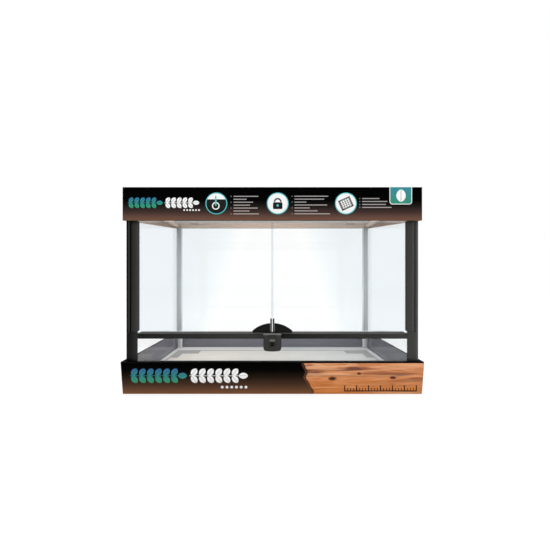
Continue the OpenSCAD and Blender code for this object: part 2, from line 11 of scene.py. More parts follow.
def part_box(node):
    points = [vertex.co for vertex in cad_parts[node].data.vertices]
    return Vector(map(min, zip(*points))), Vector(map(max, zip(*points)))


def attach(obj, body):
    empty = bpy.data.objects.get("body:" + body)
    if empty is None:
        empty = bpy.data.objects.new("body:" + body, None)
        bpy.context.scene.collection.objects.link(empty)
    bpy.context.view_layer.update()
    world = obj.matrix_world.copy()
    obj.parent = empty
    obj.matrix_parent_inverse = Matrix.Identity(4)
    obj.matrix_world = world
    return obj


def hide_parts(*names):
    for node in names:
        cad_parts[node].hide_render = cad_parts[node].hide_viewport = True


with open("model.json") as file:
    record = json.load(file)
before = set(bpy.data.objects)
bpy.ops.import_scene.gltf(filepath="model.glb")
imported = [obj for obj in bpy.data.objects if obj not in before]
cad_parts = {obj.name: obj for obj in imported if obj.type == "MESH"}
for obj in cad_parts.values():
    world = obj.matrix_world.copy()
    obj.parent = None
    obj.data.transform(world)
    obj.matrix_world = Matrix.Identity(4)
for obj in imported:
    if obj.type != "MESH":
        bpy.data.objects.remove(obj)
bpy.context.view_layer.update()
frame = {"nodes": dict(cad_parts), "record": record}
MM = 0.001

# The photograph's frame and the vanishing point of its lines that run to the rear
FRAME_PX = 550
FOCAL_PX = 258.5
VANISH_PX = (272.35, 279.15)
EYE = Vector((0.0, -0.559, 0.1943))
SENSOR_MM = 36.0

# The base frame's height and how far it draws in towards its foot
BASE_MM = 55.4
DRAFT_MM = 2.5
# The sheen on the doors: its slant, and where it starts and ends, in metres
SHEEN_SLANT = 0.314
SHEEN_NEAR = 0.117
SHEEN_FAR = 0.207
# Half the width of the doors' gap with its ground edges, in metres
GROUND_EDGE = 0.00125

# Heights in metres where a tone changes: the rail's chamfer with its painted highlight, the lock's
# upper edge with its painted highlight and its top face, the thumb slide's lip with its painted
# highlight, and the underside of the top frame's ledge
RAIL_CHAMFER = 0.1005
LOCK_EDGE = 0.1003
LOCK_TOP = 0.1031
SLIDE_LIP = (0.0886, 0.0931)
LEDGE_UNDER = 0.3347
# The lid's rear rail from front to back, and the height up to which it is seen from inside
LID_RAIL = (0.0810, 0.0888)
LID_SEEN = 0.3400
# The thumb slide's front face on the Y axis, and its painted highlight line from side to side and in
# height
SLIDE_FACE = -0.1237
SLIDE_HIGHLIGHT_X = (-0.0058, 0.0052)
SLIDE_HIGHLIGHT_Z = (0.0794, 0.0809)
# The painted highlight line beside each door, out from the middle and in height
GROOVE_X = (0.2444, 0.2461)
GROOVE_Z = (0.1035, 0.2935)
# Each half of the rail, and the part at its ends over which its tone stays the same
RAIL_HALF = 0.245
RAIL_END = 0.015
# How wide the legs of the floor pads show, on the X axis and on the Y axis
PAD_SIDE_LEG = 0.017
PAD_REAR_LEG = 0.025

# The room's light as the object, its gloss, its glass and the camera meet it
ROOM_LIGHT = 0.75
ROOM_IN_GLOSS = 0.2
ROOM_THROUGH_GLASS = 1.045
ROOM_TO_CAMERA = 1.0
# The stage's grey, its glow with what the camera adds, and how much of it is plain glow
STAGE_GREY = 0.93
STAGE_GLOW = 1.05
STAGE_GLOW_TO_CAMERA = 0.1
STAGE_PLAIN_TO_CAMERA = 0.7
STAGE_PLAIN_THROUGH_GLASS = 0.92
# Lower than real glass has it, so that the panes bend and mirror less
GLASS_IOR = 1.3

# Angles in degrees: faces this flat are one face, edges this sharp are rounded
FLAT_DEG = 0.5
SHARP_DEG = 32
SMOOTH_DEG = 40

# Thickness of the layers of ink in millimetres, each proud of the one under it
GROUND_INK = 0.05
KNOT_RIM_INK = 0.065
SIGN_INK = 0.07
KNOT_HEART_INK = 0.08
RIM_INK = 0.09
TOP_INK = 0.11
# The three round signs on the header card: their middles and radii in millimetres
ROUNDELS = (-94.3, 9.0, 123.9)
ROUNDEL_Z = 321.8
ROUNDEL_GROUND_R = 17.0
ROUNDEL_RIM = (16.8, 18.4)
# Heights in metres between which the ink of the signs runs from one shade to the other
SIGN_SHADES = (0.303, 0.341)

# The lid's fine mesh
MESH_PITCH = 3.0 * MM
MESH_RIM = 1.6 * MM
WIRE_R = 0.32 * MM


def linear(code):
    """Linear colour of a written hex colour."""
    values = [int(code[i : i + 2], 16) / 255 for i in (1, 3, 5)]
    return [v / 12.92 if v <= 0.04045 else ((v + 0.055) / 1.055) ** 2.4 for v in values] + [1.0]


class Nodes:
    """A material's node tree, with short calls to add nodes and join them."""

    def __init__(self, name):
        self.material = bpy.data.materials.new(name)
        self.material.use_nodes = True
        self.tree = self.material.node_tree
        self.tree.nodes.clear()
        self.out = self.add("ShaderNodeOutputMaterial")
        self.place = self.add("ShaderNodeTexCoord").outputs["Object"]

    def add(self, kind, **values):
        node = self.tree.nodes.new(kind)
        for key, value in values.items():
            setattr(node, key, value)
        return node

    def join(self, source, target):
        self.tree.links.new(source, target)

    def feed(self, socket, value):
        """A socket takes another node's output or a plain value."""
        if isinstance(value, bpy.types.NodeSocket):
            self.join(value, socket)
        else:
            socket.default_value = value

    def math(self, operation, a, b=0.0, clamp=False):
        node = self.add("ShaderNodeMath", operation=operation, use_clamp=clamp)
        self.feed(node.inputs[0], a)
        self.feed(node.inputs[1], b)
        return node.outputs[0]

    def axes(self):
        """X, Y and Z of the place on the object, in metres."""
        node = self.add("ShaderNodeSeparateXYZ")
        self.join(self.place, node.inputs[0])
        return node.outputs

    def noise(self, scale, detail=2.0, rough=0.5, stretch=(1, 1, 1)):
        mapping = self.add("ShaderNodeMapping")
        mapping.inputs["Scale"].default_value = stretch
        self.join(self.place, mapping.inputs["Vector"])
        node = self.add("ShaderNodeTexNoise")
        self.join(mapping.outputs[0], node.inputs["Vector"])
        node.inputs["Scale"].default_value = scale
        node.inputs["Detail"].default_value = detail
        node.inputs["Roughness"].default_value = rough
        return node.outputs["Fac"]

    def ramp(self, fac, stops, smooth=True):
        node = self.add("ShaderNodeValToRGB")
        node.color_ramp.interpolation = "EASE" if smooth else "LINEAR"
        points = node.color_ramp.elements
        while len(points) < len(stops):
            points.new(0.5)
        for point, (at, colour) in zip(points, stops):
            point.position = at
            point.color = colour
        self.feed(node.inputs[0], fac)
        return node.outputs[0]

    def grade(self, value, low, high, start=0.0, end=1.0):
        node = self.add("ShaderNodeMapRange")
        self.feed(node.inputs["Value"], value)
        node.inputs["From Min"].default_value = low
        node.inputs["From Max"].default_value = high
        node.inputs["To Min"].default_value = start
        node.inputs["To Max"].default_value = end
        return node.outputs[0]

    def blend(self, fac, a, b, kind="MIX"):
        node = self.add("ShaderNodeMix", data_type="RGBA", blend_type=kind)
        self.feed(node.inputs[0], fac)
        self.feed(node.inputs[6], a)
        self.feed(node.inputs[7], b)
        return node.outputs[2]

    def bump(self, height, strength, distance):
        node = self.add("ShaderNodeBump")
        node.inputs["Strength"].default_value = strength
        node.inputs["Distance"].default_value = distance
        self.join(height, node.inputs["Height"])
        return node.outputs[0]

    def surface(self, colour, rough, normal=None, **fixed):
        """The Principled shader, linked to the output. Fixed values stay on its own sockets."""
        node = self.add("ShaderNodeBsdfPrincipled")
        self.feed(node.inputs["Base Color"], colour)
        self.feed(node.inputs["Roughness"], rough)
        if normal is not None:
            self.join(normal, node.inputs["Normal"])
        for key, value in fixed.items():
            node.inputs[key.replace("_", " ")].default_value = value
        self.join(node.outputs[0], self.out.inputs["Surface"])
        return node


def above(n, value, edge, soft=0.0002):
    """0 below an edge and 1 above it, with a soft change."""
    return n.grade(value, edge - soft, edge + soft)


def below(n, value, edge, soft=0.0002):
    """1 below an edge and 0 above it, with a soft change."""
    return n.grade(value, edge + soft, edge - soft)


def band(n, value, low, high, soft=0.0006):
    """1 between two values, with soft ends."""
    return n.math("MULTIPLY", above(n, value, low, soft), below(n, value, high, soft), clamp=True)


def flow_marks(n, dark, light):
    """The slow clouds of moulded plastic, and the colour that follows them."""
    cloud = n.noise(14.0, 3.0, 0.6)
    return cloud, n.ramp(cloud, [(0.3, linear(dark)), (0.75, linear(light))])


def fine_grain(n, strength=0.18, stretch=(1, 1, 1)):
    """The fine relief that a mould leaves on plastic."""
    return n.bump(n.noise(900.0, 2.0, 0.5, stretch), strength, 0.0002)


def moulded_plastic(name, dark, light, rough=0.42, tone=None, gloss=0.3):
    """Black or grey moulded plastic: fine grain, faint flow marks and light scuffs.

    tone takes the nodes and their plain colour, and gives the colour with its painted highlights and
    painted shade.
    """
    n = Nodes(name)
    cloud, colour = flow_marks(n, dark, light)
    scuffs = n.noise(60.0, 5.0, 0.7, (1.0, 1.0, 6.0))
    shine = n.math("ADD", n.grade(cloud, 0.3, 0.7, rough - 0.05, rough + 0.06),
                   n.grade(scuffs, 0.55, 0.8, 0.0, 0.06))
    if tone:
        colour = tone(n, colour)
    n.surface(colour, shine, fine_grain(n), Specular_IOR_Level=gloss)
    return n.material


def rail_painted_light(n, colour):
    """Painted light on the rail: each half gets paler towards its right end, a painted sheen, and
    its chamfer carries a painted highlight.
    """
    x, _, z = n.axes()
    shift = n.math("MULTIPLY", n.math("GREATER_THAN", x, 0.0), -RAIL_HALF)
    along = n.grade(n.math("ADD", x, shift), RAIL_END - RAIL_HALF, -RAIL_END)
    face = n.ramp(along, [(0.0, linear("#151514")), (1.0, linear("#3d3d3b"))], smooth=False)
    face = n.blend(0.2, face, colour)
    # Painted highlight on the chamfer
    return n.blend(above(n, z, RAIL_CHAMFER), face, linear("#595957"))


def lid_painted_light(n, colour):
    """Painted light: the lid's rear rail is painted pale where it looks down into the tank, standing
    for the haze of the glass and the light inside the tank.
    """
    _, y, z = n.axes()
    rail = n.math("MULTIPLY", band(n, y, *LID_RAIL, soft=0.0001), below(n, z, LID_SEEN))
    return n.blend(rail, colour, linear("#dadfe2"))


def lock_painted_light(n, colour):
    """Painted light on the lock: a painted highlight along its upper edge, and a milder painted
    highlight on its top face, a little darker than that edge.
    """
    z = n.axes()[2]
    colour = n.blend(above(n, z, LOCK_EDGE), colour, linear("#767674"))
    return n.blend(above(n, z, LOCK_TOP, soft=0.0001), colour, linear("#424240"))


def slide_painted_light(n, colour):
    """The thumb slide's painted light: a painted highlight on its lip, painted shade in the pocket
    under it that darkens deeper in, and a painted highlight along a line below.
    """
    x, y, z = n.axes()
    # Painted shade: the face darkens to near black deeper in the pocket
    places = [(-0.1236, "#383836"), (-0.1230, "#343432"), (-0.1226, "#0a0a09"), (-0.1218, "#0a0a09")]
    first, last = places[0][0], places[-1][0]
    shades = [((at - first) / (last - first), linear(code)) for at, code in places]
    face = n.ramp(n.grade(y, first, last), shades, smooth=False)
    colour = n.blend(0.85, colour, face)
    proud = below(n, y, SLIDE_FACE, soft=0.0001)
    # Painted highlight on the lip
    lip = n.math("MULTIPLY", proud, band(n, z, *SLIDE_LIP, soft=0.0001))
    colour = n.blend(lip, colour, linear("#686866"))
    # Painted shade in the pocket under the lip
    under = n.math("MULTIPLY", proud, below(n, z, SLIDE_LIP[0], soft=0.0001))
    colour = n.blend(under, colour, linear("#0a0a09"))
    # Painted highlight along a thin line below the pocket
    line = n.math("MULTIPLY", band(n, z, *SLIDE_HIGHLIGHT_Z, soft=0.0001),
                  band(n, x, *SLIDE_HIGHLIGHT_X, soft=0.0002))
    return lock_painted_light(n, n.blend(line, colour, linear("#666663")))


def side_shades(places):
    """Ramp stops on the X axis from places in millimetres, over 250 mm on each side."""
    return [((x + 250) / 500, linear(code)) for x, code in places]


def upright_plastic(name, places, groove=False):
    """Extruded plastic with painted light: paler towards the right of the tank, by places on the X
    axis.

    groove adds the painted highlight line that the front posts have beside each door.
    """
    n = Nodes(name)
    x, _, z = n.axes()
    side = n.ramp(n.grade(x, -0.25, 0.25), side_shades(places), smooth=False)
    if groove:
        line = band(n, n.math("ABSOLUTE", x), *GROOVE_X, soft=0.0002)
        line = n.math("MULTIPLY", line, band(n, z, *GROOVE_Z, soft=0.0002))
        side = n.blend(line, side, linear("#363635"))
    streak = n.noise(18.0, 3.0, 0.55, (4.0, 4.0, 0.15))
    colour = n.blend(n.grade(streak, 0.35, 0.75, 0.0, 0.06), side, linear("#4b4b48"))
    n.surface(colour, n.grade(streak, 0.3, 0.7, 0.36, 0.46),
              fine_grain(n, 0.15, (1.0, 1.0, 0.2)), Specular_IOR_Level=0.12)
    return n.material


def clear_glass(name, tint, tone=None):
    """Float glass that lets lamps through, so that it casts only a faint shadow."""
    n = Nodes(name)
    colour = tone(n) if tone else linear(tint)
    glass = n.surface(colour, 0.0, IOR=GLASS_IOR, Transmission_Weight=1.0)
    film = n.add("ShaderNodeBsdfTransparent")
    film.inputs[0].default_value = linear(tint)
    mix = n.add("ShaderNodeMixShader")
    n.join(n.add("ShaderNodeLightPath").outputs["Is Shadow Ray"], mix.inputs[0])
    n.join(glass.outputs[0], mix.inputs[1])
    n.join(film.outputs[0], mix.inputs[2])
    n.join(mix.outputs[0], n.out.inputs["Surface"])
    return n.material


def door_sheen(n):
    """Clear by the middle, bluer beyond a slanting line, with a ground edge by the gap."""
    x, _, z = n.axes()
    away = n.math("ABSOLUTE", x)
    line = n.math("ADD", away, n.math("MULTIPLY", z, SHEEN_SLANT))
    sheen = n.ramp(n.grade(line, SHEEN_NEAR, SHEEN_FAR), [
        (0.0, linear("#fdfdfd")), (0.2, linear("#ffffff")), (0.5, linear("#f5fafb")),
        (1.0, linear("#edf2f5"))], smooth=False)
    return n.blend(below(n, away, GROUND_EDGE, soft=0.0001), sheen, linear("#8fa5b9"))


def lower_sheen(n):
    """Clear on the left, a little greyer towards the right."""
    return n.ramp(n.grade(n.axes()[0], -0.24, 0.24), [
        (0.0, linear("#ffffff")), (1.0, linear("#f7fafa"))], smooth=False)


def inner_mask(n, half_x, half_y, draft=0.0, soft=0.0004):
    """1 on the faces that look into the tank, 0 outside, by the distance from the middle.

    The two half sizes hold at the foot, and grow by the draft for each metre of height.
    """
    x, y, z = n.axes()
    grow = n.math("MULTIPLY", z, -draft)
    inside_x = below(n, n.math("ADD", n.math("ABSOLUTE", x), grow), half_x, soft)
    inside_y = below(n, n.math("ADD", n.math("ABSOLUTE", y), grow), half_y, soft)
    return n.math("MULTIPLY", inside_x, inside_y, clamp=True)


def frame_painted_pale_inside(name, dark, light, inner, half_x, half_y, draft=0.0, heights=None, gloss=0.3,
                   soft=0.0004, ceiling=None):
    """Moulded frame plastic that is black outside, with its faces inside the glass painted pale:
    painted light that stands for the haze of the glass in front of them and the light inside the
    tank.

    ceiling gives a height and the painted tone of the inner faces above it.
    """
    n = Nodes(name)
    cloud, outer = flow_marks(n, dark, light)
    flow = n.noise(40.0, 3.0, 0.6, (0.2, 0.2, 3.0))
    # Painted light: the pale shades of the faces inside the glass
    pale = n.ramp(flow, [(0.3, linear(inner[0])), (0.7, linear(inner[1]))])
    if ceiling:
        height, tone = ceiling
        pale = n.blend(above(n, n.axes()[2], height, soft=0.0001), pale, linear(tone))
    mask = inner_mask(n, half_x, half_y, draft, soft)
    if heights:
        mask = n.math("MULTIPLY", mask, band(n, n.axes()[2], *heights, soft=0.0001))
    colour = n.blend(mask, outer, pale)
    n.surface(colour, n.grade(cloud, 0.3, 0.7, 0.4, 0.52), fine_grain(n),
              Specular_IOR_Level=gloss)
    return n.material


def satin_floor(name):
    """Floor glass with a pale satin back, through which its L pads and its gasket show."""
    n = Nodes(name)
    axes = n.axes()
    x, y = n.math("ABSOLUTE", axes[0]), n.math("ABSOLUTE", axes[1])
    across = n.grade(axes[0], -0.2, 0.2)
    field = n.ramp(across, [
        (0.0, linear("#fff8ef")), (0.55, linear("#f0ede7")), (1.0, linear("#e6e8e5"))])
    low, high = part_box("support_pad_rear_left")
    rear_leg = n.math("MULTIPLY", band(n, x, -high.x, -low.x),
                      band(n, y, high.y - PAD_REAR_LEG, high.y))
    side_leg = n.math("MULTIPLY", band(n, x, -low.x - PAD_SIDE_LEG, -low.x),
                      band(n, y, low.y, high.y))
    pads = n.math("MAXIMUM", rear_leg, side_leg)
    colour = n.blend(n.math("MULTIPLY", pads, 0.9), field, linear("#b4b5b4"))
    inner_x, inner_y = -low.x + 0.001, high.y + 0.001
    rim = n.math("MAXIMUM", above(n, x, inner_x, soft=0.0004),
                 above(n, y, inner_y, soft=0.0004), clamp=True)
    colour = n.blend(rim, colour, n.ramp(across, [
        (0.0, linear("#fffefc")), (0.6, linear("#f6f8fa"))]))
    rear_tones = n.ramp(across, [
        (0.0, linear("#fbfaf8")), (0.4, linear("#f7f6f4")), (0.6, linear("#e2e4e5")),
        (1.0, linear("#e6e8e9"))])
    colour = n.blend(above(n, axes[1], inner_y, soft=0.0004), colour, rear_tones)
    line = n.math("MAXIMUM", n.math("MULTIPLY", band(n, x, inner_x - 0.001, inner_x + 0.0015),
                                    n.grade(y, inner_y + 0.001, inner_y)),
                  n.math("MULTIPLY", band(n, y, inner_y - 0.001, inner_y + 0.0025),
                         n.grade(x, inner_x + 0.001, inner_x)), clamp=True)
    colour = n.blend(n.math("MULTIPLY", line, 0.9), colour, linear("#9d9f9f"))
    cloud = n.noise(25.0, 3.0, 0.6)
    colour = n.blend(n.grade(cloud, 0.4, 0.7, 0.0, 0.06), colour, linear("#c9cac8"))
    n.surface(colour, n.grade(cloud, 0.3, 0.7, 0.08, 0.16), IOR=1.2, Transmission_Weight=0.12)
    return n.material


def printed_card(name, low, high, stops, back_x=None):
    """Printed card: colours that run from its lower to its upper edge, under a silk coat.

    Its bare back shows on wings whose back lies at back_x from the middle.
    """
    n = Nodes(name)
    x, y, z = n.axes()
    colour = n.ramp(n.grade(z, low, high), [(at, linear(code)) for at, code in stops], smooth=False)
    fibre = n.noise(500.0, 3.0, 0.6, (1.0, 1.0, 3.0))
    if back_x:
        on_back = band(n, n.math("ABSOLUTE", x), back_x - 0.0003, back_x + 0.0003, soft=0.0001)
        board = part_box("front_fascia")[0].y
        behind = n.grade(y, board - 0.0001, board)
        colour = n.blend(n.math("MULTIPLY", on_back, behind), colour, linear("#d2ae98"))
    mottle = n.blend(n.grade(fibre, 0.3, 0.7, 0.0, 0.12), colour, linear("#5a5a5a"), "MULTIPLY")
    n.surface(mottle, n.grade(fibre, 0.3, 0.7, 0.38, 0.48), n.bump(fibre, 0.05, 0.0001),
              Specular_IOR_Level=0.015)
    return n.material


def printed_wood(name):
    """A print of planed wood: long wavy grain, dark streaks above and fine lines all over."""
    n = Nodes(name)
    mapping = n.add("ShaderNodeMapping")
    mapping.inputs["Scale"].default_value = (4.0, 4.0, 60.0)
    n.join(n.place, mapping.inputs["Vector"])
    warp = n.add("ShaderNodeTexNoise")
    warp.inputs["Scale"].default_value = 0.9
    warp.inputs["Detail"].default_value = 2.0
    n.join(mapping.outputs[0], warp.inputs["Vector"])
    push = n.add("ShaderNodeVectorMath", operation="SCALE")
    n.join(warp.outputs["Color"], push.inputs[0])
    push.inputs["Scale"].default_value = 2.4
    bent = n.add("ShaderNodeVectorMath", operation="ADD")
    n.join(mapping.outputs[0], bent.inputs[0])
    n.join(push.outputs[0], bent.inputs[1])

    def grain(scale, detail, rough):
        node = n.add("ShaderNodeTexNoise")
        n.join(bent.outputs[0], node.inputs["Vector"])
        node.inputs["Scale"].default_value = scale
        node.inputs["Detail"].default_value = detail
        node.inputs["Roughness"].default_value = rough
        return node.outputs["Fac"]

    main = grain(2.0, 6.0, 0.62)
    colour = n.ramp(main, [
        (0.26, linear("#a9694a")), (0.40, linear("#cb8357")), (0.52, linear("#df996c")),
        (0.66, linear("#e9ad83")), (0.80, linear("#c9814f"))], smooth=False)
    low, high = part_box("base_card")
    up = n.grade(n.axes()[2], low.z, high.z)
    colour = n.blend(n.grade(up, 0.1, 0.75, 0.85, 0.0), colour, linear("#cf7c35"))
    fine = grain(7.0, 3.0, 0.55)
    colour = n.blend(n.grade(fine, 0.5, 0.66, 0.0, 0.4), colour, linear("#a96335"))
    streak = n.grade(grain(1.7, 3.0, 0.5), 0.52, 0.62)
    streak = n.math("MULTIPLY", streak, n.grade(up, 0.35, 0.6, 0.15, 0.95), clamp=True)
    colour = n.blend(streak, colour, linear("#6f4238"))
    light = n.math("MULTIPLY", n.grade(grain(2.6, 2.0, 0.5), 0.44, 0.34), 0.5, clamp=True)
    colour = n.blend(light, colour, linear("#f2bd90"))
    n.surface(colour, n.grade(main, 0.3, 0.7, 0.46, 0.38), Specular_IOR_Level=0.03)
    return n.material


def print_ink(name, low_colour, high_colour, low, high):
    """Ink of one colour, or of two that run into each other from a lower to an upper height."""
    n = Nodes(name)
    z = n.grade(n.axes()[2], low, high)
    speck = n.noise(700.0, 2.0, 0.5)
    colour = n.ramp(z, [(0.0, linear(low_colour)), (1.0, linear(high_colour))], smooth=False)
    n.surface(n.blend(n.grade(speck, 0.3, 0.7, 0.0, 0.02), colour, linear("#ffffff")),
              n.grade(speck, 0.3, 0.7, 0.36, 0.44), Specular_IOR_Level=0.05)
    return n.material


def foam_strip(name):
    """Closed-cell foam with small pits."""
    n = Nodes(name)
    cells = n.add("ShaderNodeTexVoronoi")
    n.join(n.place, cells.inputs["Vector"])
    cells.inputs["Scale"].default_value = 900.0
    colour = n.ramp(cells.outputs["Distance"], [(0.0, linear("#b4b6b6")), (0.6, linear("#cfd0cf"))])
    n.surface(colour, 0.85, n.bump(cells.outputs["Distance"], 0.3, 0.0003))
    return n.material


def silicone_bead(name):
    """Grey silicone with painted light: paler towards the floor, and a painted highlight on the side
    that faces into the tank.
    """
    n = Nodes(name)
    cloud = n.noise(30.0, 3.0, 0.5, (1.0, 1.0, 0.3))
    colour = n.ramp(cloud, [(0.3, linear("#c6c9cb")), (0.7, linear("#cfd2d3"))])
    x, _, z = n.axes()
    # Painted light towards the floor, then a painted highlight on the inward side
    colour = n.blend(n.grade(z, 0.06, 0.045), colour, linear("#dcdee0"))
    colour = n.blend(n.grade(n.math("ABSOLUTE", x), 0.2346, 0.2338), colour, linear("#fafbfc"))
    n.surface(colour, n.grade(cloud, 0.3, 0.7, 0.42, 0.55), n.bump(cloud, 0.1, 0.0004))
    return n.material


def coated_wire(name):
    """Grey coated wire with a dull metal shine."""
    n = Nodes(name)
    cloud = n.noise(220.0, 3.0, 0.6)
    colour = n.ramp(cloud, [(0.3, linear("#7f8284")), (0.7, linear("#9da0a1"))])
    n.surface(colour, n.grade(cloud, 0.3, 0.7, 0.35, 0.5), Metallic=0.35)
    return n.material


def turned_steel(name):
    """Bare steel with fine rings from the lathe."""
    n = Nodes(name)
    rings = n.noise(1500.0, 2.0, 0.5, (0.05, 1.0, 1.0))
    colour = n.ramp(rings, [(0.3, linear("#9da0a3")), (0.7, linear("#c2c5c8"))])
    n.surface(colour, n.grade(rings, 0.3, 0.7, 0.22, 0.38), n.bump(rings, 0.1, 0.0001), Metallic=1.0)
    return n.material


def make_piece(name, bm, body, material, smooth_angle=None):
    """A finished bmesh becomes a piece that rides on a body."""
    mesh = bpy.data.meshes.new(name)
    bm.to_mesh(mesh)
    bm.free()
    piece = bpy.data.objects.new(name, mesh)
    bpy.context.scene.collection.objects.link(piece)
    mesh.materials.append(material)
    if smooth_angle:
        mesh.shade_smooth()
        mesh.set_sharp_from_angle(angle=math.radians(smooth_angle))
    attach(piece, body)
    return piece


def body_of_node(node):
    """The body that a CAD node belongs to."""
    bodies = frame["record"]["behaviour"]["bodies"]
    return next(body for body, members in bodies.items() if node in members)


def merged_copy(node):
    """The node's mesh with its loose triangles joined and its flat faces made whole."""
    bm = bmesh.new()
    bm.from_mesh(frame["nodes"][node].data)
    bmesh.ops.remove_doubles(bm, verts=bm.verts, dist=1e-6)
    bmesh.ops.dissolve_limit(bm, angle_limit=math.radians(FLAT_DEG), use_dissolve_boundaries=False,
                             verts=bm.verts, edges=bm.edges)
    bmesh.ops.recalc_face_normals(bm, faces=bm.faces)
    return bm


def softened(node, material, width, segments=2):
    """A copy of a node with its sharp edges rounded, which stands for the node."""
    bm = merged_copy(node)
    limit = math.radians(SHARP_DEG)
    sharp = [e for e in bm.edges if e.is_manifold and e.calc_face_angle(0.0) > limit]
    bmesh.ops.bevel(bm, geom=sharp, offset=width, offset_type="OFFSET", segments=segments,
                    profile=0.5, affect="EDGES", clamp_overlap=True, material=-1)
    piece = make_piece(node + "_skin", bm, body_of_node(node), material,
                       smooth_angle=SMOOTH_DEG)
    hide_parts(node)


def dress(node, material):
    """Gives a CAD node that stays its material."""
    piece = frame["nodes"][node]
    piece.data.materials.clear()
    piece.data.materials.append(material)


def both_sides(stem):
    """The names of a pair of nodes."""
    return [stem + "_left", stem + "_right"]


# Camera and stage

def set_camera():
    """The photograph's view: level, from the front, with the vanishing point off its middle."""
    data = bpy.data.cameras.new("camera")
    camera = bpy.data.objects.new("camera", data)
    bpy.context.scene.collection.objects.link(camera)
    camera.location = EYE
    camera.rotation_euler = (math.radians(90), 0, 0)
    data.sensor_width = SENSOR_MM
    data.lens = SENSOR_MM * FOCAL_PX / FRAME_PX
    data.shift_x = (FRAME_PX / 2 - VANISH_PX[0]) / FRAME_PX
    data.shift_y = (VANISH_PX[1] - FRAME_PX / 2) / FRAME_PX
    bpy.context.scene.camera = camera


def set_world():
    """Soft even light, seen as plain white by the camera and through glass."""
    world = bpy.data.worlds.new("studio")
    bpy.context.scene.world = world
    world.use_nodes = True
    tree = world.node_tree
    background = tree.nodes["Background"]
    background.inputs[0].default_value = (1, 1, 1, 1)
    path = tree.nodes.new("ShaderNodeLightPath").outputs

    def blend(fac, a, b):
        """One level or, for the rays named, another."""
        node = tree.nodes.new("ShaderNodeMapRange")
        tree.links.new(fac, node.inputs["Value"])
        for socket, value in ((node.inputs["To Min"], a), (node.inputs["To Max"], b)):
            if isinstance(value, float):
                socket.default_value = value
            else:
                tree.links.new(value, socket)
        return node.outputs[0]

    level = blend(path["Is Glossy Ray"], ROOM_LIGHT, ROOM_IN_GLOSS)
    level = blend(path["Is Transmission Ray"], level, ROOM_THROUGH_GLASS)
    level = blend(path["Is Camera Ray"], level, ROOM_TO_CAMERA)
    tree.links.new(level, background.inputs[1])


def set_floor():
    """A wide pale floor: part of what the camera sees of it is plain white, the rest is lit."""
    bm = bmesh.new()
    bmesh.ops.create_grid(bm, x_segments=4, y_segments=4, size=6.0)
    mesh = bpy.data.meshes.new("floor")
    bm.to_mesh(mesh)
    bm.free()
    floor = bpy.data.objects.new("floor", mesh)
    bpy.context.scene.collection.objects.link(floor)
    n = Nodes("pale_floor")
    diffuse = n.add("ShaderNodeBsdfDiffuse")
    diffuse.inputs[0].default_value = (STAGE_GREY, STAGE_GREY, STAGE_GREY, 1)
    glow = n.add("ShaderNodeEmission")
    path = n.add("ShaderNodeLightPath")
    camera, through = path.outputs["Is Camera Ray"], path.outputs["Is Transmission Ray"]
    extra = n.math("MULTIPLY", camera, STAGE_GLOW_TO_CAMERA)
    n.join(n.math("ADD", extra, STAGE_GLOW), glow.inputs["Strength"])
    mix = n.add("ShaderNodeMixShader")
    n.join(n.math("MAXIMUM", n.math("MULTIPLY", camera, STAGE_PLAIN_TO_CAMERA),
                  n.math("MULTIPLY", through, STAGE_PLAIN_THROUGH_GLASS)), mix.inputs[0])
    n.join(diffuse.outputs[0], mix.inputs[1])
    n.join(glow.outputs[0], mix.inputs[2])
    n.join(mix.outputs[0], n.out.inputs["Surface"])
    mesh.materials.append(n.material)


def add_softbox(name, place, aim, size, power):
    """A square lamp at a place, turned towards its aim."""
    data = bpy.data.lights.new(name, "AREA")
    data.shape = "RECTANGLE"
    data.size, data.size_y = size
    data.energy = power
    lamp = bpy.data.objects.new(name, data)
    bpy.context.scene.collection.objects.link(lamp)
    lamp.location = place
    lamp.rotation_euler = (Vector(aim) - Vector(place)).to_track_quat("-Z", "Y").to_euler()
    return lamp


def set_lamps():
    """Three large softboxes round the tank and a weak one that lights its inside."""
    add_softbox("front_softbox", (-0.9, -1.6, 1.5), (0, 0, 0.17), (1.4, 1.0), 5.0)
    add_softbox("side_softbox", (1.5, -0.7, 1.1), (0, 0, 0.17), (1.0, 1.2), 4.0)
    add_softbox("top_softbox", (0, 0.3, 1.8), (0, 0, 0.2), (1.6, 1.2), 14.0)
    fill = add_softbox("inside_fill", (0, 0, 0.07), (0, 0, 0.3), (0.36, 0.16), 0.35)
    fill.visible_camera = fill.visible_glossy = fill.visible_transmission = False


bpy.context.scene.view_settings.view_transform = "Standard"
set_camera()
set_world()
set_floor()
set_lamps()

# Materials of the object

black = moulded_plastic("black_plastic", "#0c0c0b", "#121211")
# Painted light: the top frame, base frame and rear posts have their faces inside the glass painted
# pale
top_black = frame_painted_pale_inside("top_frame_plastic", "#0c0c0b", "#121211", ("#e6d1c2", "#ecd8c8"),
                           0.2500, 0.1182, heights=(0.3, 0.3363), ceiling=(LEDGE_UNDER, "#d2bfb3"))
base_black = frame_painted_pale_inside("base_frame_plastic", "#040404", "#080807", ("#868490", "#8c8a96"),
                            0.2509, 0.1209, draft=DRAFT_MM / BASE_MM, heights=(0.0135, 0.0552),
                            gloss=0.05)
rear_post_black = frame_painted_pale_inside("rear_post_plastic", "#0c0c0b", "#151514",
                                 ("#f3f6f8", "#f7f9fa"), 0.2490, 0.1172, soft=0.0001)
